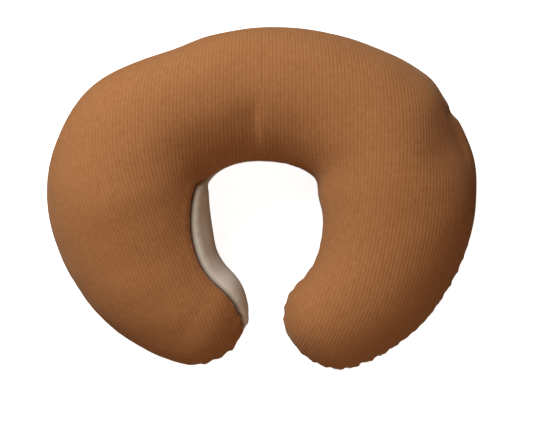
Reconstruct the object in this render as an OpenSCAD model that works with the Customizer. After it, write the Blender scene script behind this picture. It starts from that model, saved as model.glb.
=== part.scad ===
// Nursing pillow: a stuffed horseshoe with a zipped, two-panel cover.
// It lies on its underside at z = 0, the back is towards +Y and the arms open towards -Y.
// A station s is an angle in degrees along the centre line: 0 at the back, right positive.

/* [Plan] */
// Half width of the centre line where it is widest
spine_half_w = 165; // [160:1:170]
// Depth of the centre line from its widest place to the back
spine_back = 128; // [125:1:131]
// Depth of the half ellipse that the left arm follows to the front
left_front = 159; // [156:1:166]
// Depth of the half ellipse that the right arm follows to the front
right_front = 167; // [164:1:176]
// Station at which the left arm's rounded tip starts
left_arm_end = 149; // [144:1:152]
// Station at which the right arm's rounded tip starts
right_arm_end = 146; // [142:1:150]
// Length of each rounded tip
tip_l = 66; // [60:1:70]
// Pointedness of the tips: 1 is a plain half ellipse
tip_taper = 1.15; // [1:0.05:1.3]

/* [Girth] */
// Half width of the tube at the middle of the back
back_half_w = 82; // [78:1:86]
// Half width of the arms at their fullest, towards the outside
arm_half_w = 100; // [96:1:104]
// Half width of the left arm at its fullest, towards the hole
left_inner_w = 99; // [96:1:100]
// Half width of the right arm at its fullest, towards the hole
right_inner_w = 95; // [92:1:99]
// Half width where the left tip starts, towards the outside
left_tip_half_w = 71; // [66:1:78]
// Half width where the right tip starts, towards the outside
right_tip_half_w = 76; // [70:1:80]
// Half width where the left tip starts, towards the hole
left_tip_inner_w = 68; // [64:1:74]
// Half width where the right tip starts, towards the hole
right_tip_inner_w = 57; // [54:1:64]
// Rise of the top above the side plane, as a share of the half width
crown = 0.88; // [0.8:0.01:0.95]
// Height of the side plane above the table
side_z = 72; // [68:1:76]
// Depth of the underside below the side plane before the table presses it flat
belly = 78; // [77:1:84]

/* [Back edge] */
// Radius of the back edge seen from above
back_edge_r = 328; // [325:1:331]
// Shift of that radius's centre to the right
back_edge_x = 14; // [12:1:18]

/* [Seam] */
// How far the seam rolls up on the left arm's inner side, in degrees
roll_up = 27; // [0:1:36]
// How much farther it rolls up by the left tip, in degrees
roll_up_tip = 21; // [0:1:24]
// How far the seam drops below the side plane along the zip, in degrees
zip_droop = 20; // [15:1:22]

/* [Fabric] */
// Thickness of the cover
cover_t = 2.4; // [2:0.1:3]
// Thickness of the inner casing
casing_t = 1.2; // [0.8:0.1:1.4]
// Room for a seam allowance between two layers
layer_gap = 2; // [1.8:0.1:2.4]
// Diameter of the heavy seam thread
thread_d = 1.4; // [1:0.1:1.6]

/* [Zip] */
// Left end of the zip, as an angle on the back edge
zip_from = -25; // [-26:0.5:-20]
// Right end of the zip, as an angle on the back edge
zip_to = 36; // [30:0.5:36]
// Thickness of the tape
tape_t = 0.6; // [0.4:0.1:0.6]
// Reach of each tape from the zip's centre line
tape_w = 15; // [12:1:15]
// Height of one coil
coil_w = 2.7; // [2:0.1:2.7]
// Thickness of the coil
coil_t = 2.6; // [2:0.1:2.7]
// Length of the slider's body
slider_l = 11; // [9:0.5:12]
// Length of the pull below its hinge
pull_l = 24; // [16:1:26]

/* [Hidden] */

$fn = 32;
brown = [0.59, 0.38, 0.23];
cream = [0.82, 0.77, 0.69];
white = [0.93, 0.92, 0.9];
metal = [0.6, 0.52, 0.4];

// Stations: body steps, then the steps of a rounded tip in degrees from its start
body_steps = 56;
tip_steps = [15, 30, 45, 60, 75, 89.4];
// Shares of a panel's width at which its section has a corner, close together by the seams
top_shares = [0, 0.06, 0.18, 0.34, 0.5, 0.66, 0.82, 0.94, 1];
side_shares = [0, 0.15, 0.4, 0.7, 1];
// Section angle at which the table flattens the underside
press = asin(side_z / belly);

// Depths below the cover's face
cover_thread_in = cover_t + layer_gap / 2;
casing_in = cover_t + layer_gap;
casing_thread_in = casing_in + casing_t + layer_gap / 2 - 0.1;
fill_in = casing_in + casing_t + layer_gap - 0.2;
// Extra room for the slider's inner wing behind the zip
zip_room = 4;

// Half angle left between the panels at a sewn seam, and along the zip
seam_gap = 0.15;
zip_gap = 4.4;
// Angle past the zip's end at which the panels have closed again
zip_margin = 5.2;

// Stretch of the casing's outer seam that is closed by hand after filling
closure_from = -122;
closure_to = -92;

edge_y = spine_back + back_half_w - back_edge_r;
// Mean half width along the zip, which sets its radius and its lean
zip_mean_w = 90;
zip_r = back_edge_r - zip_mean_w * (1 - cos(zip_droop));
zip_z = side_z - belly * sin(zip_droop);
zip_lean = atan(zip_mean_w * tan(zip_droop) / belly);
// Face of the tape behind the cover's face, and half the slit between the coils
tape_in = 3.6;
slit = 0.7;
// Where the slider rests, and how far out its bail carries the pull
slider_at = zip_to - 3.3;
bail_out = 4;

function ease(u) = let (c = min(1, max(0, u))) c * c * (3 - 2 * c);
function mix(a, b, k) = a + (b - a) * k;
// Centre line: a shallow half ellipse at the back that deepens smoothly along each arm
function depth_of(s) = mix(spine_back, s < 0 ? left_front : right_front, ease(abs(s) / 140));
function spine(s) = [spine_half_w * sin(s), depth_of(s) * cos(s)];
function outward(s) =
    let (d = spine(s + 0.5) - spine(s - 0.5))
    [-d.y, d.x] / norm(d);

// Half width of the tube: narrow at the back, full in the arms, narrower at the tips
function tube_w(s, full, tip, taper) =
    let (
        full_at = 90,
        end = s < 0 ? left_arm_end : right_arm_end
    )
    abs(s) < full_at
        ? mix(back_half_w, full, ease(abs(s) / full_at))
        : mix(full, tip, ((abs(s) - full_at) / (end - full_at)) ^ taper);
function half_w(s) = s < 0
    ? tube_w(s, arm_half_w, left_tip_half_w, 1.1)
    : tube_w(s, arm_half_w, right_tip_half_w, 1);
function inner_half_w(s) = s < 0
    ? tube_w(s, left_inner_w, left_tip_inner_w, 2.5)
    : tube_w(s, right_inner_w, right_tip_inner_w, 1.3);

// Distance from the centre line out to the back edge's circle
function reach_to_edge(s) =
    let (
        n = outward(s),
        q = spine(s) - [back_edge_x, edge_y],
        b = n * q
    )
    sqrt(b * b - q * q + back_edge_r * back_edge_r) - b;

// The back edge is the circle where the zip lies, and fades into the arms
function off_edge(s) = s < 0 ? ease((-s - 34) / 28) : ease((s - 54) / 13);
function outer_half_w(s) = mix(reach_to_edge(s), half_w(s), off_edge(s));

// Angle past either end of the zip, negative along it
function past_zip(s) =
    let (
        p = spine(s) + outward(s) * outer_half_w(s) - [back_edge_x, edge_y],
        a = atan2(p.x, p.y)
    )
    max(zip_from - a, a - zip_to);
function by_zip(s) = 1 - ease((past_zip(s) - zip_margin) / 8);

// Elevation of the seam on the outer and the inner side
function seam_out(s) = s < 0
    ? mix(-zip_droop, -6, ease((-s - 45) / 40)) + 11 * ease((-s - 125) / 24)
    : mix(-zip_droop, 6, ease((s - 62) / 60));
function seam_in(s) = s < 0
    ? roll_up * ease((-s - 24) / 50) + roll_up_tip * ease((-s - 60) / 100)
    : -10 * ease(s / 40);
function outer_gap(s) = past_zip(s) < zip_margin ? zip_gap : seam_gap;

body_stations = [
    for (i = [0:body_steps])
        [mix(-left_arm_end, right_arm_end, i / body_steps), 0]
];
stations = [
    for (i = [len(tip_steps) - 1:-1:0]) [-left_arm_end, -tip_steps[i]],
    each body_stations,
    for (t = tip_steps) [right_arm_end, t]
];

// A point of the section at a station, at an angle from the outer side, some depth in
function skin(st, a, depth) =
    let (
        s = st[0],
        c = cos(st[1]) ^ tip_taper,
        n = outward(s),
        ahead = sign(st[1]) * abs(sin(st[1])) ^ tip_taper,
        centre = spine(s) + [n.y, -n.x] * (tip_l - depth) * ahead,
        room = depth > cover_t ? zip_room * by_zip(s) : 0,
        w = cos(a) > 0 ? outer_half_w(s) - depth - room : inner_half_w(s) - depth,
        h = sin(a) > 0 ? crown * half_w(s) - depth : belly - depth,
        p = centre + n * w * c * cos(a)
    )
    [p.x, p.y, max(depth, side_z + h * c * sin(a))];

function top_angles(s) =
    let (
        a = seam_out(s) + outer_gap(s),
        b = 180 - seam_in(s) - seam_gap
    )
    [for (k = top_shares) mix(a, b, k)];
function bottom_angles(s) =
    let (
        a = seam_out(s) - outer_gap(s),
        b = -180 - seam_in(s) + seam_gap
    )
    [
        for (k = side_shares) mix(a, -press, k),
        for (i = [len(side_shares) - 1:-1:0]) mix(b, press - 180, side_shares[i])
    ];

function backwards(list) = [for (i = [len(list) - 1:-1:0]) list[i]];

// A sheet of fabric between two depths, over a list of stations with a row of angles each
module sheet(places, rows, outside, inside) {
    m = len(rows[0]);
    n = 2 * m;
    last = (len(places) - 1) * n;
    points = [
        for (i = [0:len(places) - 1])
            each [
                for (j = [0:m - 1]) skin(places[i], rows[i][j], outside),
                for (j = [m - 1:-1:0]) skin(places[i], rows[i][j], inside)
            ]
    ];
    sides = [
        for (i = [0:len(places) - 2], j = [0:n - 1])
            let (a = i * n + j, b = i * n + (j + 1) % n)
            each [[a, b + n, b], [a, a + n, b + n]]
    ];
    ends = [
        for (j = [0:m - 2])
            each [
                [j, n - 2 - j, n - 1 - j], [j, j + 1, n - 2 - j],
                [last + j, last + n - 2 - j, last + j + 1], [last + j, last + n - 1 - j, last + n - 2 - j]
            ]
    ];
    polyhedron(points, concat(sides, ends));
}

// A closed solid that fills the section some depth in
module core(depth) {
    rows = [for (st = stations) concat(top_angles(st[0]), backwards(bottom_angles(st[0])))];
    n = len(rows[0]);
    last = (len(stations) - 1) * n;
    points = [for (i = [0:len(stations) - 1], a = rows[i]) skin(stations[i], a, depth)];
    sides = [
        for (i = [0:len(stations) - 2], j = [0:n - 1])
            let (a = i * n + j, b = i * n + (j + 1) % n)
            each [[a, b + n, b], [a, a + n, b + n]]
    ];
    polyhedron(points, concat(sides, [[for (j = [0:n - 1]) j], [for (j = [n - 1:-1:0]) last + j]]));
}

// Thread along a seam line, as a six-sided tube over a list of stations
module thread(places, inner, depth) {
    sides_n = 6;
    rings = len(places);
    points = [
        for (st = places)
            let (
                n = outward(st[0]),
                c = skin(st, inner ? 180 - seam_in(st[0]) : seam_out(st[0]), depth)
            )
            for (k = [0:sides_n - 1])
                let (a = k * 360 / sides_n, r = thread_d / 2)
                [c.x + r * cos(a) * n.x, c.y + r * cos(a) * n.y, c.z + r * sin(a)]
    ];
    sides = [
        for (i = [0:rings - 2], j = [0:sides_n - 1])
            let (a = i * sides_n + j, b = i * sides_n + (j + 1) % sides_n)
            each [[a, b + sides_n, b], [a, a + sides_n, b + sides_n]]
    ];
    last = (rings - 1) * sides_n;
    polyhedron(points, concat(sides, [
        [for (j = [0:sides_n - 1]) j],
        [for (j = [sides_n - 1:-1:0]) last + j]
    ]));
}

// A band that follows the zip between two angles, its profile drawn as [outwards, upwards]
module zip_band(from, to) {
    translate([back_edge_x, edge_y, zip_z])
        rotate([0, 0, 90 - to])
            rotate_extrude(angle = to - from, $fn = 96)
                translate([zip_r, 0])
                    rotate(-zip_lean)
                        children();
}

// Frame at one angle of the zip: x out of the cover, y towards the zip's open end, z up it
module at_zip(angle) {
    translate([back_edge_x, edge_y, zip_z])
        rotate([0, 0, 90 - angle])
            translate([zip_r, 0, 0])
                rotate([0, zip_lean, 0])
                    children();
}

// Profiles of the upper half of the zip
module tape_profile() {
    bend = 6;
    drop = 2.2;
    polygon([
        [-tape_in, slit], [-tape_in, bend], [-tape_in - drop, tape_w],
        [-tape_in - drop - tape_t, tape_w], [-tape_in - tape_t, bend], [-tape_in - tape_t, slit]
    ]);
}
module coil_profile() {
    translate([0.05 - tape_in, slit])
        square([coil_t, coil_w]);
}
module stitch_profile() {
    stitch_row = 9;
    translate([1.1, stitch_row])
        circle(r = 0.4, $fn = 16);
}

module cover_top_panel() {
    color(brown)
        sheet(stations, [for (st = stations) top_angles(st[0])], 0, cover_t);
}
module cover_bottom_panel() {
    color(cream)
        under_sheet(0, cover_t);
}
// The underside runs the other way round the section, so its two faces are swapped
module under_sheet(outside, inside) {
    sheet(
        stations,
        [for (st = stations) backwards(bottom_angles(st[0]))],
        outside,
        inside
    );
}

// Stations where a seam is sewn, without the sharp end of each tip
sewn = [for (st = stations) if (abs(st[1]) < 60) st];
left_sewn = [for (st = sewn) if (st[0] < 0 && past_zip(st[0]) > zip_margin) st];
right_sewn = [for (st = sewn) if (st[0] > 0 && past_zip(st[0]) > zip_margin) st];

module cover_seam_thread() {
    color(brown) {
        thread(sewn, true, cover_thread_in);
        thread(left_sewn, false, cover_thread_in);
        thread(right_sewn, false, cover_thread_in);
    }
}
module zip_tape_upper() {
    color(brown)
        zip_band(zip_from - 1, zip_to + 1)
            tape_profile();
}
module zip_tape_lower() {
    color(brown)
        zip_band(zip_from - 1, zip_to + 1)
            mirror([0, 1])
                tape_profile();
}
module zip_coil_upper() {
    color(brown)
        zip_band(zip_from + 1.8, zip_to - 1.8)
            coil_profile();
}
module zip_coil_lower() {
    color(brown)
        zip_band(zip_from + 1.8, zip_to - 1.8)
            mirror([0, 1])
                coil_profile();
}

// Outline of a slider wing: broad at its leading end and narrow behind
module wing(thick) {
    front = 5.2;
    back = 4.2;
    corner = 1.4;
    half_l = slider_l / 2;
    rotate([90, 0, 90])
        linear_extrude(thick)
            polygon([
                [-half_l, -front + corner], [-half_l + corner, -front], [0, -front],
                [half_l - corner, -back], [half_l, -back + corner],
                [half_l, back - corner], [half_l - corner, back], [0, front],
                [-half_l + corner, front], [-half_l, front - corner]
            ]);
}
module zip_slider() {
    outer_in = 0.4;
    wing_t = 1.6;
    inner_in = 6.4;
    inner_t = 1.2;
    lip_in = 3;
    lip_t = 0.7;
    lip_l = 4.6;
    lip_at = 4.4;
    post_half = 0.35;
    bail_r = 0.7;
    bail_half = 3.6;
    leg_l = 1;
    color(metal)
        at_zip(slider_at) {
            translate([-outer_in, 0, 0])
                wing(wing_t);
            translate([-inner_in, 0, 0])
                wing(inner_t);
            for (side = [-1, 1])
                translate([-lip_in, -lip_l, side * (lip_at + lip_t / 2) - lip_t / 2])
                    cube([lip_in - outer_in + 0.2, lip_l, lip_t]);
            translate([-inner_in + inner_t / 2, -4.5, -post_half])
                cube([inner_in - outer_in, 3, 2 * post_half]);
            translate([bail_out, -bail_half, 0])
                rotate([-90, 0, 0])
                    cylinder(r = bail_r, h = 2 * bail_half);
            for (side = [-1, 1])
                translate([0.6, side * (bail_half - leg_l / 2) - leg_l / 2, -bail_r])
                    cube([bail_out - 0.6, leg_l, 2 * bail_r]);
        }
}
module zip_pull() {
    eye_r = 2;
    bore_r = 1;
    eye_half = 2.4;
    tab_t = 1.4;
    grip_half = 3.5;
    grip_from = 6;
    hole_r = 1.6;
    color(metal)
        translate([back_edge_x, edge_y, zip_z])
            rotate([0, 0, 90 - slider_at])
                translate([zip_r + bail_out * cos(zip_lean), 0, -bail_out * sin(zip_lean)])
                    difference() {
                        union() {
                            translate([0, -eye_half, 0])
                                rotate([-90, 0, 0])
                                    cylinder(r = eye_r, h = 2 * eye_half);
                            translate([-tab_t / 2, -eye_half, -grip_from - 1])
                                cube([tab_t, 2 * eye_half, grip_from + 1]);
                            translate([-tab_t / 2, -grip_half, grip_half - pull_l])
                                cube([tab_t, 2 * grip_half, pull_l - grip_half - grip_from]);
                            translate([-tab_t / 2, 0, grip_half - pull_l])
                                rotate([0, 90, 0])
                                    cylinder(r = grip_half, h = tab_t);
                        }
                        translate([0, -eye_half - 1, 0])
                            rotate([-90, 0, 0])
                                cylinder(r = bore_r, h = 2 * eye_half + 2);
                        translate([-tab_t, 0, grip_half - pull_l])
                            rotate([0, 90, 0])
                                cylinder(r = hole_r, h = 2 * tab_t);
                    }
}
module zip_top_stops() {
    color(metal)
        for (low = [slit, -slit - coil_w])
            zip_band(zip_to - 1.7, zip_to - 1.3)
                translate([-tape_in, low])
                    square([coil_t, coil_w]);
}
module zip_bottom_stop() {
    color(metal)
        zip_band(zip_from + 1.2, zip_from + 1.7)
            translate([-tape_in, -slit - coil_w])
                square([coil_t, 2 * (slit + coil_w)]);
}
module zip_topstitch_upper() {
    color(brown)
        zip_band(zip_from, zip_to)
            stitch_profile();
}
module zip_topstitch_lower() {
    color(cream)
        zip_band(zip_from, zip_to)
            mirror([0, 1])
                stitch_profile();
}
module zip_bartacks() {
    tack_half = 4.5;
    color(brown)
        for (at = [zip_from + 0.5, zip_to - 0.9])
            zip_band(at, at + 0.4)
                translate([-tape_in, -tack_half])
                    square([2.6, 2 * tack_half]);
}
module cover_care_label() {
    label_w = 32;
    label_h = 42;
    label_t = 0.8;
    clear = 1;
    at = [-100, 0];
    p = skin(at, seam_out(at[0]), 0);
    n = outward(at[0]);
    color(white)
        translate([p.x, p.y, p.z])
            rotate([0, 0, atan2(n.y, n.x)])
                translate([clear, -label_w / 2, -label_h])
                    cube([label_t, label_w, label_h]);
}
module casing_top_panel() {
    color(white)
        sheet(stations, [for (st = stations) top_angles(st[0])], casing_in, casing_in + casing_t);
}
module casing_bottom_panel() {
    color(white)
        under_sheet(casing_in, casing_in + casing_t);
}
module casing_seam_thread() {
    color(white) {
        thread(sewn, true, casing_thread_in);
        thread([for (st = sewn) if (st[0] < closure_from) st], false, casing_thread_in);
        thread([for (st = sewn) if (st[0] > closure_to) st], false, casing_thread_in);
    }
}
module casing_closure_stitching() {
    bars = 24;
    bar_r = 0.4;
    bar_l = 4.2;
    color(white)
        for (i = [1:bars])
            let (
                s = mix(closure_from, closure_to, i / (bars + 1)),
                p = skin([s, 0], seam_out(s), casing_thread_in + 0.25),
                n = outward(s)
            )
            translate(p)
                rotate([0, 0, atan2(n.y, n.x)])
                    translate([0, 0, -bar_l / 2])
                        cylinder(r = bar_r, h = bar_l, $fn = 16);
}
module casing_label() {
    first = 46;
    places = [for (i = [first:first + 2]) body_stations[i]];
    rows = [for (st = places) let (r = top_angles(st[0])) [r[1], r[2]]];
    color(white)
        sheet(places, rows, casing_in - 0.9, casing_in - 0.4);
}
module fill() {
    color(white)
        core(fill_in);
}

cover_top_panel();
cover_bottom_panel();
cover_seam_thread();
zip_tape_upper();
zip_tape_lower();
zip_coil_upper();
zip_coil_lower();
zip_slider();
zip_pull();
zip_top_stops();
zip_bottom_stop();
zip_topstitch_upper();
zip_topstitch_lower();
zip_bartacks();
cover_care_label();
casing_top_panel();
casing_bottom_panel();
casing_seam_thread();
casing_closure_stitching();
casing_label();
fill();
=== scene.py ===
"""Looks of the nursing pillow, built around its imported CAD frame.

A place t is an angle in degrees along the pillow's centre line: 0 at the back, right positive. Past an
arm's end it goes on round the rounded tip. A section angle a is 0 on the outer side, 90 on top and 180
towards the hole. Lengths are in millimetres until a mesh is made, which is in metres.
"""

import math

import bpy
import numpy as np
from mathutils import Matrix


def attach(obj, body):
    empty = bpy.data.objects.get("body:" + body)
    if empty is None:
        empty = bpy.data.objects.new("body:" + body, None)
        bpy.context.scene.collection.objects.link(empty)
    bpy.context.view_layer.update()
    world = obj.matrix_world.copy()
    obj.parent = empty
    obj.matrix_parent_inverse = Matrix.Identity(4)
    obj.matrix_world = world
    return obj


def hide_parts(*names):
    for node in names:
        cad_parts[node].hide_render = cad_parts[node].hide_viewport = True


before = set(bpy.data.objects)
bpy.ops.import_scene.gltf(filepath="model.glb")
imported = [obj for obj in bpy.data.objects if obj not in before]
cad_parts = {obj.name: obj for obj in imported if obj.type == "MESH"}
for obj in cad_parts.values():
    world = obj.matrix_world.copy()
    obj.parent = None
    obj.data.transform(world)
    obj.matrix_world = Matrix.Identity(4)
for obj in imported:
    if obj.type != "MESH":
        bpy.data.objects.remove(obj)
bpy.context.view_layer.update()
MM = 0.001

# ---- The body's driving sizes, the same as the CAD's ----
SPINE_HALF_W, SPINE_BACK, LEFT_FRONT, RIGHT_FRONT = 165, 128, 159, 167
LEFT_END, RIGHT_END, TIP_L, TIP_TAPER = 149, 146, 66, 1.15
BACK_HALF_W, ARM_HALF_W, LEFT_INNER_W, RIGHT_INNER_W = 82, 100, 99, 95
LEFT_TIP_HALF_W, RIGHT_TIP_HALF_W, LEFT_TIP_INNER_W, RIGHT_TIP_INNER_W = 71, 76, 68, 57
CROWN, SIDE_Z, BELLY = 0.88, 72, 78
BACK_EDGE_R, BACK_EDGE_X = 328, 14
ROLL_UP, ROLL_UP_TIP, ZIP_DROOP = 27, 21, 20
ZIP_FROM, ZIP_TO = -25, 36
SEAM_GAP, ZIP_GAP, ZIP_MARGIN, ZIP_ROOM = 0.15, 4.4, 5.2, 4
COVER_T, CASING_IN, CASING_T, FILL_IN, THREAD_IN, CASING_THREAD_IN = 2.4, 4.4, 1.2, 7.4, 3.4, 6.5
TAPE_IN, SLIT, COIL_W, COIL_T = 3.6, 0.7, 2.7, 2.6
CLOSURE_FROM, CLOSURE_TO = -122, -92
EDGE_Y = SPINE_BACK + BACK_HALF_W - BACK_EDGE_R
ZIP_MEAN_W = 90
ZIP_R = BACK_EDGE_R - ZIP_MEAN_W * (1 - math.cos(math.radians(ZIP_DROOP)))
ZIP_Z = SIDE_Z - BELLY * math.sin(math.radians(ZIP_DROOP))
ZIP_LEAN = math.atan(ZIP_MEAN_W * math.tan(math.radians(ZIP_DROOP)) / BELLY)

# ---- The fabric ----
RIB_PITCH = 4.5
RIB_STEPS = 6                 # mesh lines across one rib
RIB_H = 0.27
KNIT_T, COTTON_T = 1.5, 1.0
BENDS = [(0.6, 120, 3), (0.35, 60, 5)]     # unevenness of the filled fabric: height, size, seed
GROOVE_DEEP, GROOVE_WIDE = 3.2, 5.0
RIM_H, RIM_AT, RIM_WIDE = 0.8, 11, 6       # swell beside each groove
PUCKER_L, SMALL_PUCKER_L = 17, 9.3         # lengths of the gathers along a seam
PUCKER_DEEP, PUCKER_WIDE, TIP_PUCKER_WIDE = 0.35, 9, 15
CREASE_X, CREASE_DEEP, CREASE_SOFT_W, CREASE_SHARP_W = -8, 4.5, 26, 7
PULLED_DEEP, PULLED_WIDE = 1, 16           # draw of the left arm's fabric towards its rolled seam
TIP_SWELL = 4.5
SEAM_SHADE_W = 2.4            # cloth this near a seam, where it is drawn in, gets painted shade
ROWS_PER_DEG = 1.0
FULL_AT = 90                  # place where the arms are at their fullest
SOFTEN_STEPS, SOFTEN_ROWS = 60, 9          # how far the arms and tips are blended
# Hollows in the filled fabric: middle x and y, radius, depth, and the height they start at
HOLLOWS = [(-105, 190, 30, 3.5, 0), (234, 137, 20, 5, 0), (236, 106, 7, 3, 60), (226, 62, 42, 10, 85)]


def sind(a):
    return np.sin(np.radians(a))


def cosd(a):
    return np.cos(np.radians(a))


def ease(u):
    c = np.clip(u, 0, 1)
    return c * c * (3 - 2 * c)


def mix(a, b, k):
    return a + (b - a) * k


def spine(s):
    depth = mix(SPINE_BACK, np.where(s < 0, LEFT_FRONT, RIGHT_FRONT), ease(np.abs(s) / 140))
    return SPINE_HALF_W * sind(s), depth * cosd(s)


def outward(s):
    (x0, y0), (x1, y1) = spine(s - 0.5), spine(s + 0.5)
    length = np.hypot(x1 - x0, y1 - y0)
    return (y0 - y1) / length, (x1 - x0) / length


def tube_w(s, full, tips, tapers):
    """Half width of the tube: narrow at the back, full in the arms, narrower at the two tips."""
    end, tip, taper = (np.where(s < 0, *pair) for pair in ((LEFT_END, RIGHT_END), tips, tapers))
    late = np.clip((np.abs(s) - FULL_AT) / (end - FULL_AT), 0, 1)
    early = mix(BACK_HALF_W, full, ease(np.abs(s) / FULL_AT))
    return np.where(np.abs(s) < FULL_AT, early, mix(full, tip, late ** taper))


def half_w(s):
    return tube_w(s, ARM_HALF_W, (LEFT_TIP_HALF_W, RIGHT_TIP_HALF_W), (1.1, 1))


def inner_half_w(s):
    full = np.where(s < 0, LEFT_INNER_W, RIGHT_INNER_W)
    return tube_w(s, full, (LEFT_TIP_INNER_W, RIGHT_TIP_INNER_W), (2.5, 1.3))


def outer_half_w(s):
    """Half width on the outer side: the circle of the back edge, which fades into the arms."""
    (nx, ny), (x, y) = outward(s), spine(s)
    x, y = x - BACK_EDGE_X, y - EDGE_Y
    b = nx * x + ny * y
    inside = np.maximum(b * b - x * x - y * y + BACK_EDGE_R ** 2, 0)
    off = np.where(s < 0, ease((-s - 34) / 28), ease((s - 54) / 13))
    return mix(np.sqrt(inside) - b, half_w(s), off)


def past_zip(s):
    """Angle past either end of the zip, negative along it."""
    (nx, ny), (x, y), w = outward(s), spine(s), outer_half_w(s)
    a = np.degrees(np.arctan2(x + nx * w - BACK_EDGE_X, y + ny * w - EDGE_Y))
    return np.maximum(ZIP_FROM - a, a - ZIP_TO)


def by_zip(s):
    return 1 - ease((past_zip(s) - ZIP_MARGIN) / 8)


def seam_out(s):
    left = mix(-ZIP_DROOP, -6, ease((-s - 45) / 40)) + 11 * ease((-s - 125) / 24)
    right = mix(-ZIP_DROOP, 6, ease((s - 62) / 60))
    return np.where(s < 0, left, right)


def seam_in(s):
    left = ROLL_UP * ease((-s - 24) / 50) + ROLL_UP_TIP * ease((-s - 60) / 100)
    return np.where(s < 0, left, -10 * ease(s / 40))


def split(t):
    """Station on the arms and angle round the tip, for a place."""
    s = np.clip(t, -LEFT_END, RIGHT_END)
    return s, t - s


def ahead(cap):
    """Share of a tip's length reached at an angle round it."""
    return np.sign(cap) * np.abs(sind(cap)) ** TIP_TAPER


def skin(t, a, depth):
    """Points of the body at places and section angles, some depth in."""
    s, cap = split(t)
    (nx, ny), (x, y) = outward(s), spine(s)
    go = (TIP_L - depth) * ahead(cap)
    room = np.where(depth > COVER_T, ZIP_ROOM * by_zip(s), 0)
    c = cosd(cap) ** TIP_TAPER
    w = np.where(cosd(a) > 0, outer_half_w(s) - depth - room, inner_half_w(s) - depth)
    h = np.where(sind(a) > 0, CROWN * half_w(s) - depth, BELLY - depth)
    reach = w * c * cosd(a)
    z = SIDE_Z + h * c * sind(a) - depth
    soft = 2.0
    z = depth + (z + np.sqrt(z * z + soft * soft)) / 2
    return np.stack([x + ny * go + nx * reach, y - nx * go + ny * reach, z + 0 * reach], -1)


def bends(x, y, z, size, seed):
    """A smooth unevenness between about -1 and 1, with hollows and swells of one size."""
    rng = np.random.default_rng(seed)
    total = 0
    for _ in range(6):
        d = rng.normal(size=3)
        d *= 2 * math.pi / size / np.linalg.norm(d) * rng.uniform(0.7, 1.3)
        total = total + np.sin(d[0] * x + d[1] * y + d[2] * z + rng.uniform(0, 2 * math.pi))
    return total / 2.6


# ---- A panel of the cover as a fine grid of rows along t and columns round the section ----
CAP_STEPS = np.append(np.arange(4, 88, 4), [87, 89.5])
PLACES = np.concatenate([
    -LEFT_END - CAP_STEPS[::-1],
    np.linspace(-LEFT_END, RIGHT_END, int((LEFT_END + RIGHT_END) * ROWS_PER_DEG) + 1),
    RIGHT_END + CAP_STEPS,
])


def lengths(p, axis):
    """Distance walked along a grid of points, from the start of each line."""
    step = np.linalg.norm(np.diff(p, axis=axis), axis=-1)
    start = np.zeros_like(np.take(step, [0], axis))
    return np.concatenate([start, np.cumsum(step, axis)], axis)


def normals(p):
    """Normals of a grid of rows along t and columns of rising a, away from the fill."""
    n = np.cross(np.gradient(p, axis=1), np.gradient(p, axis=0))
    size = np.linalg.norm(n, axis=-1, keepdims=True)
    return n / np.maximum(size, 1e-9)


def soften(p):
    """The grid with its changes of width and the joins of arms and tips smoothed along t."""
    at = np.arange(len(PLACES))
    joins = np.interp([-LEFT_END, -FULL_AT, FULL_AT, RIGHT_END], PLACES, at)
    weight = sum(np.exp(-((at - join_at) / SOFTEN_ROWS) ** 2) for join_at in joins)[1:-1, None, None]
    for _ in range(SOFTEN_STEPS):
        p[1:-1] += 0.5 * weight * ((p[:-2] + p[2:]) / 2 - p[1:-1])
    return p


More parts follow.
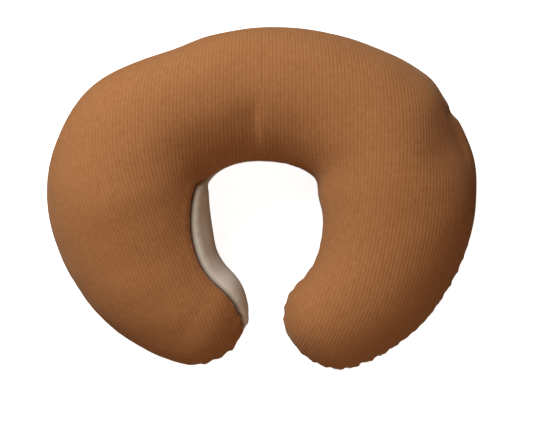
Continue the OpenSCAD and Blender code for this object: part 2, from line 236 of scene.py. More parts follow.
class Panel:
    """Grid of one cover panel: plain face and its normals n0, dents, then points and their normals n."""

    def __init__(self, upper, columns):
        s, self.cap = split(PLACES)
        gap = mix(ZIP_GAP, SEAM_GAP, ease((past_zip(s) - 0.2) / 1.4))
        if upper:
            first, last = seam_out(s) + gap, 180 - seam_in(s) - SEAM_GAP
        else:
            first, last = seam_out(s) - gap, -180 - seam_in(s) + SEAM_GAP
        k = np.linspace(0, 1, columns)
        self.t = PLACES[:, None] + 0 * k
        self.a = mix(first[:, None], last[:, None], k)
        self.face = soften(skin(self.t, self.a, 0))
        self.n = normals(self.face) * (1 if upper else -1)
        across = lengths(self.face, 1)
        self.from_out, self.from_in = across, across[:, -1:] - across
        self.across, self.upper = across, upper
        self.n0 = self.n
        self.dent = self.dents()
        self.points = self.face + self.n * self.dent[..., None]
        self.n = normals(self.points) * (1 if upper else -1)

    def dents(self):
        """How far the filled fabric stands out from the plain body, or sinks in."""
        x, y, z = np.moveaxis(self.face, -1, 0)
        s, _ = split(self.t)
        zip_side = by_zip(s)
        total = sum(high * bends(x, y, z, size, seed) for high, size, seed in BENDS)
        sides = ((self.from_out, self.face[:, 0], True), (self.from_in, self.face[:, -1], False))
        for d, edge, outer in sides:
            along = lengths(edge[None], 1)[0][:, None]
            deep = GROOVE_DEEP * (1 - 0.85 * zip_side) if outer else GROOVE_DEEP
            total = total - deep * (1 - ease(d / GROOVE_WIDE))
            total = total + RIM_H * np.exp(-((d - RIM_AT) / RIM_WIDE) ** 2) * (1 - zip_side * outer)
            total = total + self.puckers(along, d, outer) * (1 - 0.8 * zip_side * outer)
        above_zip = mix(1, ease((z - 52) / 18), zip_side)
        for hollow_x, hollow_y, r, deep, above in HOLLOWS:
            share = above_zip * ease((z - above) / 25)
            far = ((x - hollow_x) ** 2 + (y - hollow_y) ** 2) / r ** 2
            total = total - deep * share * np.exp(-far)
        if self.upper:
            total = total - self.crease(x, y, z)
            pulled = ease((-s - 50) / 30) * (1 - 0.6 * ease((-s - 120) / 30))
            total = total - PULLED_DEEP * pulled * np.exp(-(self.from_in / PULLED_WIDE) ** 2)
        round_tip = np.abs(self.cap)[:, None]
        total = total + TIP_SWELL * ease(round_tip / 40)
        off_table = ease((z - 2) / 14)
        off_pole = 0.25 + 0.75 * ease((89 - round_tip) / 22)
        return total * off_table * off_pole

    def crease(self, x, y, z):
        """Depth of the crease that rises from the top of the hole, soft on its left side."""
        line = x - CREASE_X - 2 * sind(3 * y)
        wide = np.where(line < 0, CREASE_SOFT_W, CREASE_SHARP_W)
        inside = ease((z - 84) / 40) * (1 - ease((y - 84) / 44))
        return CREASE_DEEP * np.exp(-(line / wide) ** 2) * inside

    def puckers(self, along, d, outer):
        """Gathers in the fabric beside a seam, strongest round the tips."""
        right_tip, left_tip = ease((self.t - 96) / 30), ease((-self.t - 170) / 25)
        tip = (2.3 if outer else 1.2) * right_tip + 1.8 * left_tip
        beat = 0.6 + 0.4 * np.sin(along / 31 + (1 if outer else 2.3))
        wave = (
            np.sin(2 * math.pi * along / PUCKER_L + 1.4 * np.sin(along / 23))
            + 0.3 * np.sin(2 * math.pi * along / SMALL_PUCKER_L + 2 * np.sin(along / 37))
        )
        everywhere = PUCKER_DEEP * np.exp(-d / PUCKER_WIDE) * ease(d / 2)
        return beat * wave * (everywhere + tip * np.exp(-d / TIP_PUCKER_WIDE))

    def layer(self, depth):
        """The same panel some depth in, with the same dents."""
        return soften(skin(self.t, self.a, depth)) + self.n0 * self.dent[..., None]


def cubic(grid, i, j):
    """Values of a grid at fractional rows and columns, along smooth curves."""
    def weights(f):
        return (
            (-f ** 3 + 2 * f ** 2 - f) / 2, (3 * f ** 3 - 5 * f ** 2 + 2) / 2,
            (-3 * f ** 3 + 4 * f ** 2 + f) / 2, (f ** 3 - f ** 2) / 2,
        )
    rows, cols = grid.shape[:2]
    i0 = np.clip(np.floor(i).astype(int), 0, rows - 2)
    j0 = np.clip(np.floor(j).astype(int), 0, cols - 2)
    total = 0
    for di, wi in enumerate(weights(i - i0)):
        ii = np.clip(i0 + di - 1, 0, rows - 1)
        for dj, wj in enumerate(weights(j - j0)):
            jj = np.clip(j0 + dj - 1, 0, cols - 1)
            total = total + (wi * wj)[:, None] * grid[ii, jj]
    return total


# ---- The direction of the ribs: straight on the flat cloth, wrapped over the tube ----
def lean_left(y):
    return 21 * ease((115 - y) / 145)


def lean_right(y):
    return 24 * np.clip((115 - y) / 290, 0, 1.1) ** 1.6


def shear(y, lean):
    """Sideways shift of a rib below the back band, from its lean at each height."""
    heights = np.arange(-260.0, 260.0, 2)
    slope = np.tan(np.radians(lean(heights)))
    walked = np.concatenate([[0], np.cumsum((slope[1:] + slope[:-1]) * 1.0)])
    return np.interp(y, heights, walked - walked[-1])


def cloth_place(panel):
    """Where each grid point lies on the flat cloth: across the ribs, and along them."""
    s, cap = split(panel.t)
    (nx, ny), (cx, cy) = outward(s), spine(s)
    go = TIP_L * ahead(cap)
    cx, cy = cx + ny * go, cy - nx * go
    ridge = np.array([np.interp(90, a, d) for a, d in zip(panel.a, panel.across)])[:, None]
    reach = ridge - panel.across
    x, y = panel.points[..., 0], panel.points[..., 1]
    side = ease((x + 45) / 90)
    u = cx + nx * reach + mix(shear(y, lean_left), -shear(y, lean_right), side)
    return u, cy + ny * reach


def rib_height(level):
    """Height across one rib: a round back between two narrow valleys."""
    phase = level / RIB_STEPS
    return RIB_H * (np.abs(np.sin(math.pi * phase)) ** 0.7 - 0.6)


# ---- Meshes ----
def new_mesh(name, verts, faces, slot, material, uv=None, body="root", replaces=()):
    mesh = bpy.data.meshes.new(name)
    mesh.from_pydata((np.asarray(verts, float) * MM).tolist(), [], faces)
    mesh.validate()
    mesh.shade_smooth()
    if uv is not None:
        layer = mesh.uv_layers.new(name="cloth")
        at = np.zeros(len(mesh.loops), int)
        mesh.loops.foreach_get("vertex_index", at)
        layer.data.foreach_set("uv", np.asarray(uv, np.float32)[at].ravel())
    mesh.materials.append(material)
    obj = bpy.data.objects.new(name, mesh)
    bpy.context.scene.collection.objects.link(obj)
    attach(obj, body)
    if replaces:
        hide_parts(*replaces)
    return obj


def closed_sheet(outer, inner, flip):
    """A sheet between two grids of points, closed round its border. flip turns its faces over."""
    r, c = outer.shape[:2]
    n, faces = r * c, []
    for i in range(r - 1):
        for j in range(c - 1):
            q = i * c + j
            faces += [[q, q + c, q + c + 1, q + 1], [n + q, n + q + 1, n + q + c + 1, n + q + c]]
    border = list(range(c)) + [i * c + c - 1 for i in range(1, r)]
    border += [(r - 1) * c + j for j in range(c - 2, -1, -1)] + [i * c for i in range(r - 2, 0, -1)]
    for p, q in zip(border, border[1:] + border[:1]):
        faces.append([p, q, n + q, n + p])
    verts = np.concatenate([outer.reshape(-1, 3), inner.reshape(-1, 3)])
    return verts, [f[::-1] for f in faces] if flip else faces


class Slicer:
    """Cuts the cells of a grid along the level lines of a height, so that each rib has its own faces."""

    def __init__(self, level):
        self.level, self.at, self.cuts = level, None, {}

    def grid(self, rows, cols):
        self.at = [(r, c) for r in rows for c in cols]
        self.lev = [float(self.level[r, c]) + 1e-5 if self.level is not None else 0 for r, c in self.at]
        return len(self.at)

    def cut(self, a, b):
        """New vertices on an edge where it crosses whole levels, in order from a to b."""
        key = (min(a, b), max(a, b))
        if key not in self.cuts:
            p, q = key
            lp, lq = self.lev[p], self.lev[q]
            ids = []
            if self.level is not None:
                for k in range(math.ceil(min(lp, lq)), math.floor(max(lp, lq)) + 1):
                    f = (k - lp) / (lq - lp)
                    self.at.append(tuple(mix(a, b, f) for a, b in zip(self.at[p], self.at[q])))
                    self.lev.append(float(k))
                    ids.append(len(self.at) - 1)
            self.cuts[key] = ids if lp <= lq else ids[::-1]
        return self.cuts[key] if key == (a, b) else self.cuts[key][::-1]

    def faces(self, corners):
        loop = []
        for a, b in zip(corners, corners[1:] + corners[:1]):
            loop += [a] + self.cut(a, b)
        lev = [self.lev[v] for v in loop]
        low, high = lev.index(min(lev)), lev.index(max(lev))
        loop, lev = loop[low:] + loop[:low], lev[low:] + lev[:low]
        top = (high - low) % len(loop)
        up, down = loop[:top + 1], [loop[0]] + loop[:top - 1:-1]
        rises = all(self.lev[c[i]] <= self.lev[c[i + 1]] for c in (up, down) for i in range(len(c) - 1))
        if not rises:
            a, b, c, d = corners
            return self.faces([a, b, c]) + self.faces([a, c, d])
        out = []
        for k in range(math.floor(lev[0]), math.ceil(lev[top])):
            part = [v for v in up if k <= self.lev[v] <= k + 1]
            part += [v for v in reversed(down) if k <= self.lev[v] <= k + 1 and v not in part]
            if len(part) > 2:
                out.append(part)
        return out


def panel_mesh(name, panel, cols, thickness, slot, material, level=None, place=None, height=None):
    """The panel as a closed sheet of fabric, its outer face cut along the ribs if a level is given."""
    rows = range(len(PLACES))
    slicer = Slicer(level)
    n = slicer.grid(rows, cols)
    wide = len(cols)
    faces, flip = [], panel.upper
    for r in range(len(PLACES) - 1):
        for c in range(wide - 1):
            a = r * wide + c
            quad = [a, a + wide, a + wide + 1, a + 1]
            quad = quad[::-1] if flip else quad
            faces += [quad] if level is None else slicer.faces(quad)
    cut_count = len(slicer.at)
    at = np.array(slicer.at, float)
    lift = height(np.array(slicer.lev)) if height else np.zeros(cut_count)
    pos = cubic(panel.points, at[:, 0], at[:, 1])
    nrm = cubic(panel.n, at[:, 0], at[:, 1])
    nrm /= np.linalg.norm(nrm, axis=1, keepdims=True)
    sides = (cubic(d[..., None], at[:, 0], at[:, 1]) for d in (panel.from_out, panel.from_in))
    edge = np.minimum(*sides)
    lift = lift * (0.35 + 0.65 * ease(edge[:, 0] / 4))
    outer = pos + nrm * lift[:, None]
    inner = pos[:n] - nrm[:n] * thickness
    for r in range(len(PLACES) - 1):
        for c in range(wide - 1):
            a = cut_count + r * wide + c
            quad = [a, a + 1, a + wide + 1, a + wide]
            faces.append(quad[::-1] if flip else quad)

    def border(a, b):
        chain = [a] + slicer.cut(a, b) + [b]
        face = chain[::-1] + [cut_count + a, cut_count + b]
        faces.append(face if not flip else face[::-1])
    last = (len(PLACES) - 1) * wide
    for r in range(len(PLACES) - 1):
        a = r * wide
        border(a, a + wide)
        border(a + 2 * wide - 1, a + wide - 1)
    for c in range(wide - 1):
        border(c + 1, c)
        border(last + c, last + c + 1)
    uv = None
    if place is not None:
        uv = cubic(np.stack(place, -1), at[:, 0], at[:, 1]) * MM
        uv = np.concatenate([uv, uv[:n]])
    obj = new_mesh(name, np.concatenate([outer, inner]), faces, slot, material, uv)
    # painted seam shade: one at a seam, fading out a few millimetres away
    painted_seam_shade = np.exp(-(edge[:, 0] / SEAM_SHADE_W) ** 2)
    shade = obj.data.attributes.new("seam", "FLOAT", "POINT")
    shade.data.foreach_set("value", np.concatenate([painted_seam_shade, painted_seam_shade[:n]]).astype(np.float32))
    return obj


def tube(points, radius, sides=6):
    """Vertices and faces of a round strand along a line of points, drawn in at both ends."""
    p = np.asarray(points, float)
    d = np.gradient(p, axis=0)
    d /= np.linalg.norm(d, axis=1, keepdims=True)
    ref = np.array([0, 0, 1.0]) if abs(d[0, 2]) < 0.8 else np.array([1.0, 0, 0])
    e = np.cross(d, ref)
    e /= np.linalg.norm(e, axis=1, keepdims=True)
    f = np.cross(d, e)
    r = np.full(len(p), float(radius))
    r[[0, -1]] *= 0.55
    turn = 2 * math.pi * np.arange(sides) / sides
    ring = e[:, None] * np.cos(turn)[:, None] + f[:, None] * np.sin(turn)[:, None]
    verts = (p[:, None] + ring * r[:, None, None]).reshape(-1, 3)
    faces = []
    for i in range(len(p) - 1):
        for j in range(sides):
            a, b = i * sides + j, i * sides + (j + 1) % sides
            faces.append([a, b, b + sides, a + sides])
    faces.append(list(range(sides))[::-1])
    faces.append([(len(p) - 1) * sides + j for j in range(sides)])
    return verts, faces


def join(parts):
    verts, faces, n = [], [], 0
    for v, f in parts:
        verts.append(v)
        faces += [[n + i for i in face] for face in f]
        n += len(v)
    return np.concatenate(verts), faces


def stitches(line, out, length, gap, radius, rise):
    """Separate stitches along a line: each comes up, lies along it and goes down again."""
    d = lengths(line[None], 1)[0]
    parts = []
    shares = np.array([0, 0.12, 0.35, 0.65, 0.88, 1])
    heights = np.array([-1, 0, 0.6, 0.6, 0, -1]) * rise
    for start in np.arange(0, d[-1] - length, length + gap):
        where = start + shares * length
        p = np.stack([np.interp(where, d, line[:, i]) for i in range(3)], -1)
        o = np.stack([np.interp(where, d, out[:, i]) for i in range(3)], -1)
        parts.append(tube(p + o * heights[:, None], radius))
    return join(parts)


# ---- Materials ----
class Shader:
    """A principled material with short calls for its nodes."""

    def __init__(self, name, **values):
        self.material = bpy.data.materials.new(name)
        self.material.use_nodes = True
        self.tree = self.material.node_tree
        self.tree.nodes.clear()
        self.bsdf = self.node("BsdfPrincipled")
        out = self.node("OutputMaterial")
        self.tree.links.new(self.bsdf.outputs[0], out.inputs[0])
        for socket, value in values.items():
            self.bsdf.inputs[socket.replace("_", " ")].default_value = value

    def node(self, kind, inputs=(), **attributes):
        n = self.tree.nodes.new("ShaderNode" + kind)
        for key, value in attributes.items():
            setattr(n, key, value)
        for key, value in dict(inputs).items():
            self.put(n.inputs[key], value)
        return n

    def put(self, socket, value):
        if isinstance(value, bpy.types.NodeSocket):
            self.tree.links.new(value, socket)
        else:
            socket.default_value = value

    def math(self, operation, a, b=0.0, c=0.0, clamp=False):
        n = self.node("Math", {0: a, 1: b, 2: c}, operation=operation, use_clamp=clamp)
        return n.outputs[0]

    def place(self, uv=False):
        if uv:
            return self.node("UVMap", uv_map="cloth").outputs[0]
        return self.node("TexCoord").outputs["Object"]

    def seam(self):
        """Painted seam shade mask: one at a seam, nothing a few millimetres away from it."""
        return self.node("Attribute", attribute_name="seam").outputs["Fac"]

    def noise(self, vector, scale, detail=2.0, roughness=0.5):
        inputs = {"Vector": vector, "Scale": scale, "Detail": detail, "Roughness": roughness}
        return self.node("TexNoise", inputs).outputs[0]

    def ramp(self, value, stops):
        n = self.node("ValToRGB", {0: value})
        e = n.color_ramp.elements
        while len(e) < len(stops):
            e.new(0.5)
        for el, (pos, colour) in zip(e, stops):
            el.position, el.color = pos, (*colour, 1)
        return n.outputs[0]

    def blend(self, share, a, b, kind="MIX"):
        n = self.node("Mix", data_type="RGBA", blend_type=kind)
        for socket, value in zip((n.inputs[0], n.inputs[6], n.inputs[7]), (share, a, b)):
            self.put(socket, (*value, 1) if isinstance(value, tuple) and len(value) == 3 else value)
        return n.outputs[2]

    def wave(self, value, per_mm, phase=0.0):
        """A sine along a coordinate in metres, between 0 and 1."""
        turn = self.math("MULTIPLY_ADD", value, 2000 * math.pi * per_mm, phase)
        return self.math("MULTIPLY_ADD", self.math("SINE", turn), 0.5, 0.5)

    def finish(self, colour, rough=None, height=None, distance=0.0003, strength=1.0):
        self.put(self.bsdf.inputs["Base Color"], colour)
        if rough is not None:
            self.put(self.bsdf.inputs["Roughness"], rough)
        if height is not None:
            bump = self.node("Bump", {"Height": height, "Distance": distance, "Strength": strength})
            self.put(self.bsdf.inputs["Normal"], bump.outputs[0])
        return self.material


def knit_material():
    """Ribbed knit: heathered yarn, with painted shade in the rib valleys and by the seams, and rows of small
    loops along each rib.
    """
    m = Shader("ribbed_knit", Roughness=0.85, Sheen_Weight=0.25, Sheen_Roughness=0.45,
               Sheen_Tint=(1.0, 0.78, 0.58, 1), Specular_IOR_Level=0.2)
    uv = m.node("SeparateXYZ", {0: m.place(uv=True)})
    u, v = uv.outputs[0], uv.outputs[1]
    rib = m.math("ABSOLUTE", m.math("SINE", m.math("MULTIPLY", u, 1000 * math.pi / RIB_PITCH)))
    rib_valley_shade = m.math("SUBTRACT", 1.0, m.math("POWER", rib, 0.6), clamp=True)
    slant = m.math("MULTIPLY_ADD", rib, 0.0009, v)
    loops = m.wave(slant, 1 / 1.7)
    fuzz = m.noise(m.place(), 900, 3.0, 0.7)
    heather = m.noise(m.place(), 160, 4.0, 0.6)
    patch = m.noise(m.place(), 11, 2.0)
    colour = m.ramp(heather, [(0.3, (0.40, 0.173, 0.062)), (0.7, (0.475, 0.222, 0.086))])
    colour = m.blend(m.math("MULTIPLY", patch, 0.25), colour, (0.40, 0.165, 0.055))
    # painted shade: the rib valleys are drawn darker, as shade falls in them
    colour = m.blend(m.math("MULTIPLY", rib_valley_shade, 0.3), colour, (0.16, 0.045, 0.012))
    # painted shade: cloth near a seam is drawn much darker, as the shade where it turns into the seam
    colour = m.blend(m.math("MULTIPLY", m.seam(), 0.9), colour, (0.10, 0.022, 0.006))
    height = m.math("ADD", m.math("MULTIPLY", loops, 0.6), m.math("MULTIPLY", fuzz, 0.6))
    return m.finish(colour, height=height, distance=0.0004, strength=0.7)


def weave_material(name, light, dark, per_mm=0.9, sheen=0.1, rough=0.8):
    """Plain woven cloth from its grid of threads, with slubs and a faint mottle."""
    m = Shader(name, Roughness=rough, Sheen_Weight=sheen, Sheen_Roughness=0.4, Specular_IOR_Level=0.25)
    p = m.node("SeparateXYZ", {0: m.place()})
    x, y, z = p.outputs[0], p.outputs[1], p.outputs[2]
    warp = m.wave(m.math("ADD", x, m.math("MULTIPLY", z, 0.7)), per_mm)
    weft = m.wave(m.math("SUBTRACT", y, m.math("MULTIPLY", z, 0.7)), per_mm, 0.8)
    cloth = m.math("MULTIPLY", warp, weft)
    slub = m.noise(m.place(), 420, 3.0, 0.6)
    mottle = m.noise(m.place(), 26, 3.0, 0.55)
    share = m.math("ADD", m.math("MULTIPLY", slub, 0.55), m.math("MULTIPLY", mottle, 0.45))
    colour = m.ramp(share, [(0.3, dark), (0.7, light)])
    # painted shade: cloth near a seam is drawn darker, as the shade where it turns into the seam
    colour = m.blend(m.math("MULTIPLY", m.seam(), 0.7), colour, (0.16, 0.09, 0.05))
    height = m.math("ADD", m.math("MULTIPLY", cloth, 0.7), m.math("MULTIPLY", slub, 0.4))
    return m.finish(colour, height=height, distance=0.00025, strength=0.5)


def thread_material(name, light, dark):
    m = Shader(name, Roughness=0.55, Sheen_Weight=0.2, Sheen_Roughness=0.4)
    ply = m.noise(m.place(), 1400, 2.0, 0.6)
    fibre = m.noise(m.place(), 500, 3.0, 0.6)
    colour = m.ramp(fibre, [(0.3, dark), (0.7, light)])
    return m.finish(colour, height=ply, distance=0.00015, strength=0.6)


def tape_material():
    m = Shader("zip_tape", Roughness=0.7, Sheen_Weight=0.15)
    p = m.node("SeparateXYZ", {0: m.place()})
    across = m.math("ADD", p.outputs[0], p.outputs[1])
    diagonal = m.math("ADD", across, m.math("MULTIPLY", p.outputs[2], 1.6))
    twill = m.wave(diagonal, 1 / 0.9)
    fibre = m.noise(m.place(), 800, 3.0, 0.6)
    colour = m.ramp(m.math("ADD", m.math("MULTIPLY", twill, 0.5), m.math("MULTIPLY", fibre, 0.5)),
                    [(0.25, (0.09, 0.034, 0.012)), (0.75, (0.21, 0.088, 0.034))])
    return m.finish(colour, height=twill, distance=0.0002, strength=0.6)


def coil_material():
    m = Shader("zip_coil", Specular_IOR_Level=0.5)
    scuff = m.noise(m.place(), 700, 3.0, 0.6)
    colour = m.ramp(scuff, [(0.3, (0.07, 0.026, 0.010)), (0.75, (0.13, 0.052, 0.020))])
    rough = m.math("MULTIPLY_ADD", scuff, 0.25, 0.25)
    return m.finish(colour, rough, scuff, 0.00005, 0.4)


def metal_material():
    """Satin antique alloy, with brown stains and fine scratches, both spread at random."""
    m = Shader("zip_metal", Metallic=1.0)
    stain = m.noise(m.place(), 260, 4.0, 0.65)
    scratch = m.noise(m.place(), 2600, 2.0, 0.8)
    colour = m.ramp(stain, [
        (0.3, (0.16, 0.105, 0.055)), (0.55, (0.36, 0.265, 0.155)), (0.75, (0.50, 0.40, 0.26)),
    ])
    rough = m.math("MULTIPLY_ADD", stain, 0.3, m.math("MULTIPLY_ADD", scratch, 0.15, 0.18))
    return m.finish(colour, rough, scratch, 0.00004, 0.35)


def satin_material():
    m = Shader("label_satin", Sheen_Weight=0.3, Specular_IOR_Level=0.6)
    p = m.node("SeparateXYZ", {0: m.place()})
    floats = m.wave(p.outputs[2], 1 / 0.35)
    slub = m.noise(m.place(), 600, 3.0, 0.6)
    colour = m.ramp(slub, [(0.3, (0.72, 0.70, 0.66)), (0.7, (0.85, 0.84, 0.81))])
    rough = m.math("MULTIPLY_ADD", slub, 0.2, 0.3)
    return m.finish(colour, rough, floats, 0.00006, 0.5)


def fibre_material():
    m = Shader("polyester_fibre", Roughness=0.8, Sheen_Weight=0.5, Subsurface_Weight=0.25,
               Subsurface_Scale=0.01)
    m.bsdf.inputs["Subsurface Radius"].default_value = (0.01, 0.01, 0.01)
    tuft = m.noise(m.place(), 90, 6.0, 0.75)
    strand = m.noise(m.place(), 700, 4.0, 0.8)
    colour = m.ramp(tuft, [(0.3, (0.74, 0.74, 0.73)), (0.7, (0.90, 0.90, 0.89))])
    return m.finish(colour, height=m.math("ADD", tuft, m.math("MULTIPLY", strand, 0.5)), distance=0.002)


KNIT = knit_material()
COTTON = weave_material("woven_cotton", (0.84, 0.82, 0.75), (0.70, 0.68, 0.60))
CASING = weave_material("casing_cotton", (0.84, 0.82, 0.76), (0.72, 0.69, 0.62), 0.7)
BROWN = thread_material("brown_thread", (0.22, 0.075, 0.024), (0.11, 0.032, 0.009))
CREAM = thread_material("cream_thread", (0.62, 0.52, 0.39), (0.45, 0.36, 0.25))
WHITE = thread_material("white_thread", (0.86, 0.84, 0.79), (0.68, 0.66, 0.60))
TAPE, COIL, METAL = tape_material(), coil_material(), metal_material()
SATIN, FIBRE = satin_material(), fibre_material()

# ---- The cover ----
top, bottom = Panel(True, 161), Panel(False, 141)


def columns(count, near, step):
    """Columns close together by both seams and wider between them."""
    inner = list(range(near[-1] + step, count - 1 - near[-1], step))
    return sorted(set(near + inner + [count - 1 - c for c in near]))


cloth = cloth_place(top)
cover_top = panel_mesh(
    "cover_top", top, columns(161, [0, 1, 2, 3, 4, 6, 8, 11], 4), KNIT_T, "ribbed_knit", KNIT,
    level=cloth[0] * RIB_STEPS / RIB_PITCH, place=cloth, height=rib_height,
)
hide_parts("cover_top_panel")

cover_bottom = panel_mesh(
    "cover_bottom", bottom, columns(141, [0, 1, 2, 3, 4, 5, 6, 8, 10], 2), COTTON_T, "woven_cotton", COTTON
)
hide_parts("cover_bottom_panel")


# ---- Seam threads, along the panels' edges. Stitches are a length, a gap, a radius and a rise ----
COVER_STITCH = (2.8, 0.7, 0.4, 0.35)
CASING_STITCH = (3.0, 0.8, 0.35, 0.35)
ZIP_STITCH = (2.7, 0.7, 0.36, 0.5)


def seam_line(outer, depth, keep):
    """Points along a seam some depth in, and the way out of it, where keep(t) is true."""
    _, cap = split(PLACES)
    rows = keep(PLACES) & (np.abs(cap) < 60)
    column = 0 if outer else -1
    line = top.layer(depth)[rows, column]
    return line, top.n0[rows, column]


def sewn_run(outer, depth, keep, length, gap, radius, rise):
    return stitches(*seam_line(outer, depth, keep), length, gap, radius, rise)


def beyond_zip(side):
    """Test for places on one side of the back, -1 left or 1 right, where the seam is sewn shut."""
    return lambda t: (side * t > 0) & (past_zip(split(t)[0]) > ZIP_MARGIN)


everywhere = np.isfinite
new_mesh("cover_seam_stitches", *join([
    sewn_run(False, THREAD_IN, everywhere, *COVER_STITCH),
    sewn_run(True, THREAD_IN, beyond_zip(-1), *COVER_STITCH),
    sewn_run(True, THREAD_IN, beyond_zip(1), *COVER_STITCH),
]), "brown_thread", BROWN, replaces=["cover_seam_thread"])


# ---- The zip ----
def on_zip(angle, out, up):
    """Points of the zip at angles along it, out of the cover and up its slope."""
    r = ZIP_R + out * math.cos(ZIP_LEAN) + up * math.sin(ZIP_LEAN)
    z = ZIP_Z - out * math.sin(ZIP_LEAN) + up * math.cos(ZIP_LEAN)
    turn = np.asarray(angle, float)
    return np.stack([BACK_EDGE_X + r * sind(turn), EDGE_Y + r * cosd(turn), z + 0 * turn], -1)


def coil(side):
    """One row of the zip's nylon coil: a flattened helix whose turns face the other row."""
    turn_l, wire, per_turn, end_gap = 1.35, 0.36, 12, 1.8
    span = math.radians(ZIP_TO - ZIP_FROM - 2 * end_gap) * ZIP_R
    turns = int(span / turn_l)
    k = np.arange(turns * per_turn + 1) / per_turn
    phase = 2 * math.pi * (k + (0.5 if side < 0 else 0))
    angle = ZIP_FROM + end_gap + np.degrees(k * turn_l / ZIP_R)
    low, high = SLIT - 0.1 + wire, SLIT + COIL_W - wire
    up = side * ((low + high) / 2 - (high - low) / 2 * np.cos(phase))
    out = 0.05 - TAPE_IN + COIL_T / 2 + (COIL_T / 2 - wire) * np.sin(phase)
    return tube(on_zip(angle, out, up), wire)


def zip_row(side, slot, material, name, node, panel):
    """Topstitching along one folded edge of the zip's opening."""
    row_up = 9.0
    angle = np.linspace(ZIP_FROM, ZIP_TO, 260)
    face = on_zip(angle, 0.0, side * row_up)
    flat = panel.points.reshape(-1, 3)
    near = np.array([np.argmin(((flat - p) ** 2).sum(1)) for p in face])
    rows, cols = np.unravel_index(near, panel.points.shape[:2])
    column = np.full(len(near), float(np.median(cols)))
    line = cubic(panel.points, rows.astype(float), column)
    out = cubic(panel.n, rows.astype(float), column)
    keep = np.concatenate([[True], np.diff(rows) != 0])
    line, out = line[keep], out[keep]
    lift = 0.55 + (0.35 if panel.upper else 0)
    v, f = stitches(line + out * lift, out, *ZIP_STITCH)
    new_mesh(name, v, f, slot, material, replaces=[node])


new_mesh("zip_coil_top", *coil(1), "zip_coil", COIL, replaces=["zip_coil_upper"])
new_mesh("zip_coil_bottom", *coil(-1), "zip_coil", COIL, replaces=["zip_coil_lower"])
zip_row(1, "brown_thread", BROWN, "zip_stitching_upper", "zip_topstitch_upper", top)
zip_row(-1, "cream_thread", CREAM, "zip_stitching_lower", "zip_topstitch_lower", bottom)


def bartacks():
    """Dense bars of thread that close both ends of the zip."""
    bars, bar_span = 9, 0.4
    up = np.array([-4.6, -4.3, -1.5, 1.5, 4.3, 4.6])
    out = np.array([-1.7, -1.1, -0.8, -0.8, -1.1, -1.7])
    parts = []
    for at in (ZIP_FROM + 0.5, ZIP_TO - 0.9):
        for k in range(bars):
            angle = np.full(len(up), at + bar_span * k / (bars - 1))
            shift = 0.25 if k % 2 else -0.25
            parts.append(tube(on_zip(angle, out, up + shift), 0.2))
    return join(parts)


new_mesh("zip_end_bartacks", *bartacks(), "brown_thread", BROWN, replaces=["zip_bartacks"])

for name in ("zip_tape_upper", "zip_tape_lower"):
    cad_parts[name].data.materials.clear()
    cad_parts[name].data.materials.append(TAPE)
for name in ("zip_slider", "zip_pull", "zip_top_stops", "zip_bottom_stop"):
    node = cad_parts[name]
    node.data.materials.clear()
    node.data.materials.append(METAL)
    bevel = node.modifiers.new("edges", "BEVEL")
    bevel.width, bevel.segments, bevel.limit_method = 0.00025, 2, "ANGLE"


# ---- Labels ----
LABEL_W, LABEL_L, LABEL_T, LABEL_AT = 32, 42, 0.28, -100
SEAM_L_PER_RAD = 262          # length of the outer seam for each radian of place, near the label


def care_label():
    """A blank satin label, folded once and sewn into the seam, lying against the underside."""
    across, down = np.linspace(-0.5, 0.5, 9), np.linspace(0, 1, 15)
    at = np.arange(len(PLACES))
    row = np.interp(LABEL_AT + np.degrees(across * LABEL_W / SEAM_L_PER_RAD), PLACES, at)
    from_seam = bottom.from_out[int(np.interp(LABEL_AT, PLACES, at))]
    column = np.interp(2.0 + down * LABEL_L, from_seam, np.arange(bottom.points.shape[1]))
    rr, cc = np.meshgrid(row, column, indexing="ij")
    p, n = (cubic(g, rr.ravel(), cc.ravel()).reshape(*rr.shape, 3) for g in (bottom.points, bottom.n))
    parts = []
    for fold in (0, 1):
        lift = 0.5 + fold * 0.6 + 1.2 * down * down + 0.8 * np.sin(3 * down + 0.6)
        curl = lift[None, :] + 0.5 * (across[:, None] * 2) ** 2 * down[None, :]
        near = p + n * curl[..., None]
        parts.append(closed_sheet(near + n * LABEL_T, near, False))
    return join(parts)


label = new_mesh("care_label", *care_label(), "label_satin", SATIN, replaces=["cover_care_label"])


# ---- Inside the cover ----
def every(count, step):
    """Every step-th index and the last one."""
    return list(range(0, count - 1, step)) + [count - 1]


for panel, name in ((top, "casing_top"), (bottom, "casing_bottom")):
    rows, cols = every(len(PLACES), 2), every(panel.points.shape[1], 5)
    face, back = (panel.layer(depth)[rows][:, cols] for depth in (CASING_IN, CASING_IN + CASING_T))
    casing = new_mesh(
        name, *closed_sheet(face, back, panel.upper), "casing_cotton", CASING, replaces=[name + "_panel"]
    )

new_mesh("casing_seam_stitches", *join([
    sewn_run(False, CASING_THREAD_IN, everywhere, *CASING_STITCH),
    sewn_run(True, CASING_THREAD_IN, lambda t: t < CLOSURE_FROM, *CASING_STITCH),
    sewn_run(True, CASING_THREAD_IN, lambda t: t > CLOSURE_TO, *CASING_STITCH),
]), "white_thread", WHITE, replaces=["casing_seam_thread"])


def closure():
    """Hand stitches that close the casing after filling, leaning over the seam."""
    count, past = 24, 2

    def by_hand(t):
        return (t > CLOSURE_FROM - past) & (t < CLOSURE_TO + past)
    line, _ = seam_line(True, CASING_THREAD_IN + 0.25, by_hand)
    d = lengths(line[None], 1)[0]
    parts = []
    for k in range(count):
        where = mix(4, d[-1] - 4, k / (count - 1)) + np.array([-0.9, -0.5, 0, 0.5, 0.9])
        p = np.stack([np.interp(where, d, line[:, i]) for i in range(3)], -1)
        p[:, 2] += np.array([-2.3, -1.2, 0, 1.2, 2.3])
        parts.append(tube(p, 0.34))
    return join(parts)


new_mesh("casing_closing_stitches", *closure(), "white_thread", WHITE, replaces=["casing_closure_stitching"])


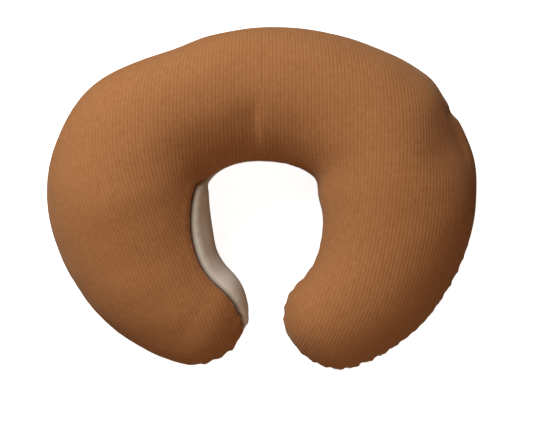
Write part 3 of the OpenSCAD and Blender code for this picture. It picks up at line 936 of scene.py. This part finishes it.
def casing_tag():
    """A blank label sewn flat on the casing's outer side."""
    rows = [i for i, t in enumerate(PLACES) if 93 <= t <= 104]
    cols = list(range(8, 30, 2))
    near, far = (top.layer(CASING_IN - gap)[rows][:, cols] for gap in (0.45, 0.85))
    return closed_sheet(far, near, True)


tag = new_mesh("casing_tag", *casing_tag(), "label_satin", SATIN, replaces=["casing_label"])


def stuffing():
    """The fibre fill: one closed lumpy body inside the casing."""
    rows = every(len(PLACES), 3)
    parts = []
    for panel in (top, bottom):
        cols = every(panel.points.shape[1], 4)
        p = panel.layer(FILL_IN)[rows][:, cols]
        x, y, z = np.moveaxis(p, -1, 0)
        lump = 1.1 * (bends(x, y, z, 34, 11) - 1)
        p = p + panel.n0[rows][:, cols] * np.minimum(lump, 0)[..., None]
        parts.append(p if panel.upper else p[:, ::-1])
    ring = np.concatenate(parts, 1)
    r, c = ring.shape[:2]
    faces = []
    for i in range(r - 1):
        for j in range(c):
            a, b = i * c + j, i * c + (j + 1) % c
            faces.append([a, b, b + c, a + c])
    faces.append(list(range(c))[::-1])
    faces.append([(r - 1) * c + j for j in range(c)])
    return ring.reshape(-1, 3), faces


fill = new_mesh("fibre_fill", *stuffing(), "polyester_fibre", FIBRE, replaces=["fill"])

# ---- Floor, light and camera ----
floor_mesh = bpy.data.meshes.new("floor")
floor_mesh.from_pydata([(-8, -8, 0), (8, -8, 0), (8, 8, 0), (-8, 8, 0)], [], [(0, 1, 2, 3)])
floor = bpy.data.objects.new("floor", floor_mesh)
floor.location.z = -0.0006
bpy.context.scene.collection.objects.link(floor)
paper = Shader("paper", Roughness=0.9)
paper.bsdf.inputs["Base Color"].default_value = (0.9, 0.9, 0.9, 1)
paper.bsdf.inputs["Emission Color"].default_value = (1, 1, 1, 1)
paper.bsdf.inputs["Emission Strength"].default_value = 0.9
floor_mesh.materials.append(paper.material)
floor.visible_diffuse = floor.visible_glossy = False

world = bpy.data.worlds.new("studio")
world.use_nodes = True
world.node_tree.nodes["Background"].inputs[0].default_value = (1, 1, 1, 1)
world.cycles_visibility.diffuse = world.cycles_visibility.glossy = False
bpy.context.scene.world = world


def light(kind, name, place, energy, colour, **settings):
    """A lamp at a place in metres, aimed at the middle of the pillow."""
    lamp = bpy.data.lights.new(name, kind)
    lamp.energy, lamp.color = energy, colour
    for key, value in settings.items():
        setattr(lamp, key, value)
    obj = bpy.data.objects.new(name, lamp)
    bpy.context.scene.collection.objects.link(obj)
    aim = np.array(place) - (0, 0, 0.08)
    obj.location = place
    tilt, turn = math.atan2(math.hypot(aim[0], aim[1]), aim[2]), math.atan2(aim[1], aim[0])
    obj.rotation_euler = (tilt, 0, turn + math.pi / 2)
    return obj


# A soft key behind the left arm, a weaker lamp on the arms' side, and a warm dome of light overhead
light("AREA", "key", (-1.1, 1.5, 1.5), 53, (1, 0.98, 0.95), size=1.4)
light("AREA", "low", (0.3, -1.8, 1.1), 8, (1, 0.8, 0.64), size=1.6)
light("SUN", "fill", (0, 0, 2), 0.58, (1, 0.62, 0.42), angle=math.pi)

LENS, SENSOR = 85, 36
VIEW_W, VIEW_X, VIEW_Y = 656.7, 5.5, -18.5
camera = bpy.data.objects.new("camera", bpy.data.cameras.new("camera"))
camera.data.lens, camera.data.sensor_width, camera.data.clip_end = LENS, SENSOR, 50
camera.location = (VIEW_X * MM, VIEW_Y * MM, (SIDE_Z + VIEW_W * LENS / SENSOR) * MM)
bpy.context.scene.collection.objects.link(camera)
bpy.context.scene.camera = camera
bpy.context.scene.view_settings.view_transform = "Standard"
